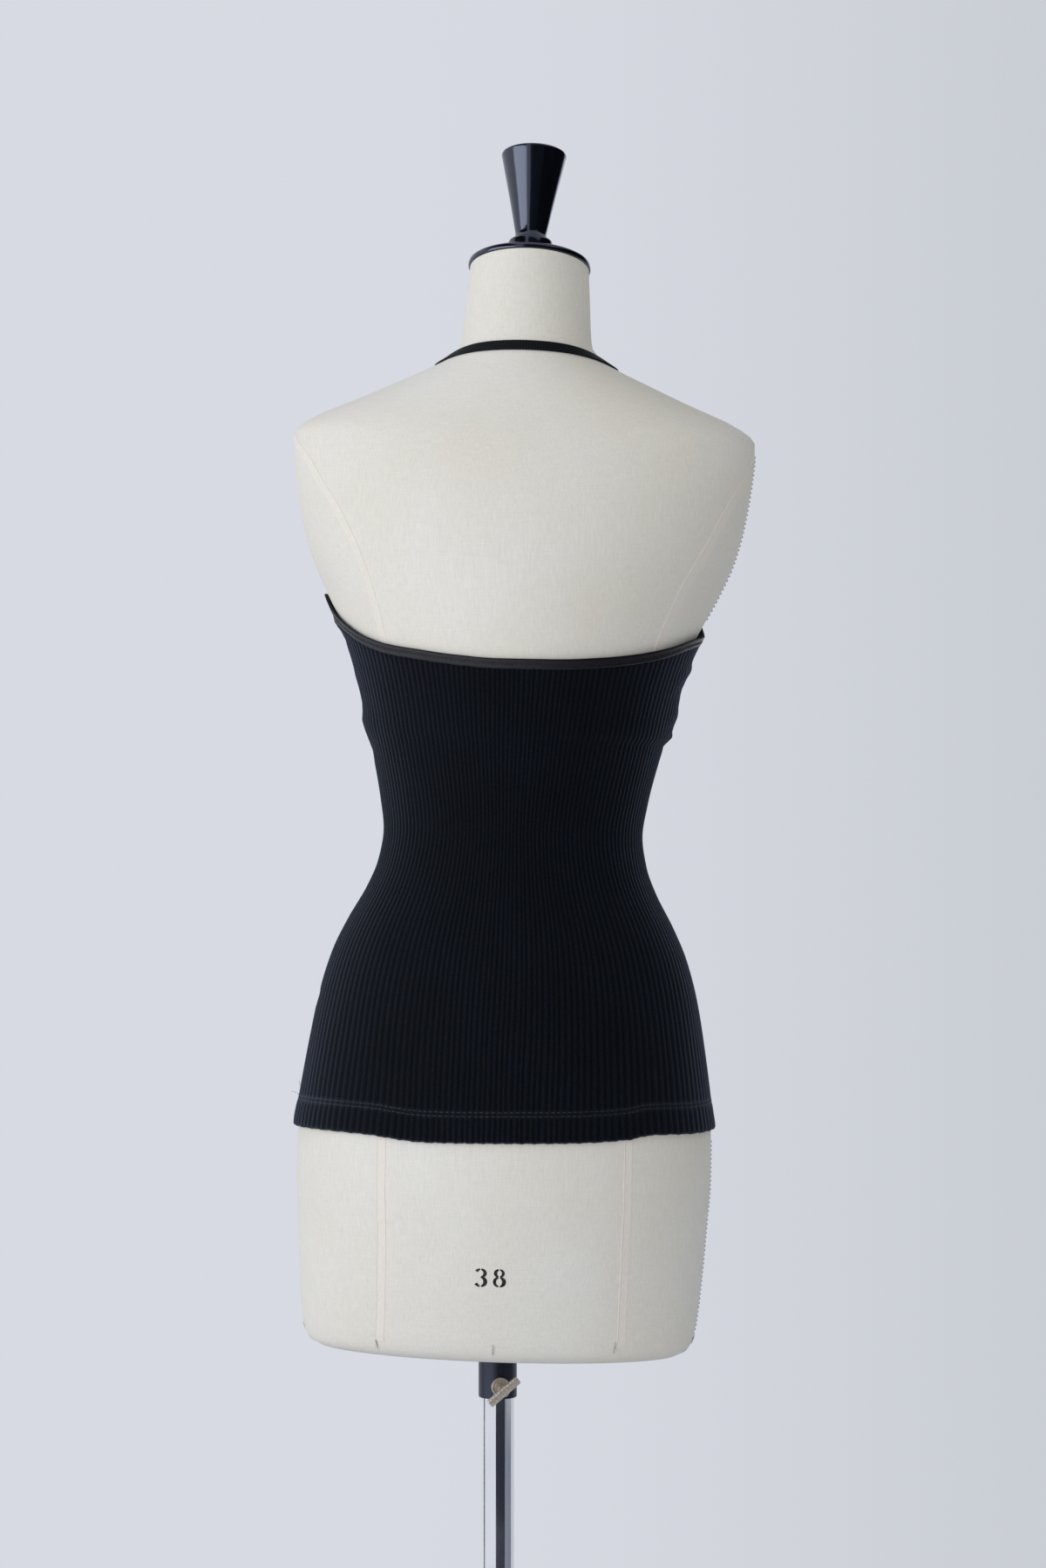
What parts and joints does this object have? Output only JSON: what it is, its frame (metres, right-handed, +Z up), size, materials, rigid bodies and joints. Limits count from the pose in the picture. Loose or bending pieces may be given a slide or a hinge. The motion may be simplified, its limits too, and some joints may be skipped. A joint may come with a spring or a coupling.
{
  "type": "halter neck top on a dress form stand",
  "caption": "Ribbed halter neck top with elastic bound edges and a neck strap, worn by a limbless dress form on a pole and round base.",
  "frame": {"origin": "centre of the round base's underside, on the pole's axis", "axes": "+Z up along the pole; +Y towards the back of the top, -Y towards its front; +X towards the wearer's left"},
  "size_m": [0.45, 0.45, 1.6068],
  "materials": {
    "rib_knit": "matte black cotton rib knit",
    "elastic": "satin fold-over elastic",
    "linen": "matte ecru linen canvas stretched over a hard shell",
    "lacquered_wood": "gloss black lacquer on turned wood",
    "enamel": "satin black enamel on steel",
    "chrome": "polished chrome plate",
    "nickel": "worn nickel plate"
  },
  "bodies": {
    "stand": {"base": "enamel"},
    "pole": {"pole": "chrome"},
    "form": {"torso": "linen", "neck_cap": "lacquered_wood", "knob": "lacquered_wood", "sleeve": "enamel", "back_panel": "rib_knit", "front_panel": "rib_knit", "back_binding": "elastic", "armhole_binding_left": "elastic", "armhole_binding_right": "elastic", "neckline_binding": "elastic", "neck_strap": "elastic"},
    "screw": {"clamp_screw": "nickel"}
  },
  "joints": [
    {"name": "swivel", "type": "hinge", "parent": "stand", "child": "pole", "pos_m": [0, 0, 0.03], "axis": [0, 0, 1], "continuous": true},
    {"name": "height", "type": "slide", "parent": "pole", "child": "form", "axis": [0, 0, 1], "range_m": [-0.2, 0.2]},
    {"name": "screw_turn", "type": "hinge", "parent": "form", "child": "screw", "pos_m": [0, 0, 0.5804], "axis": [-0.1736, 0.9848, 0], "continuous": true}
  ]
}
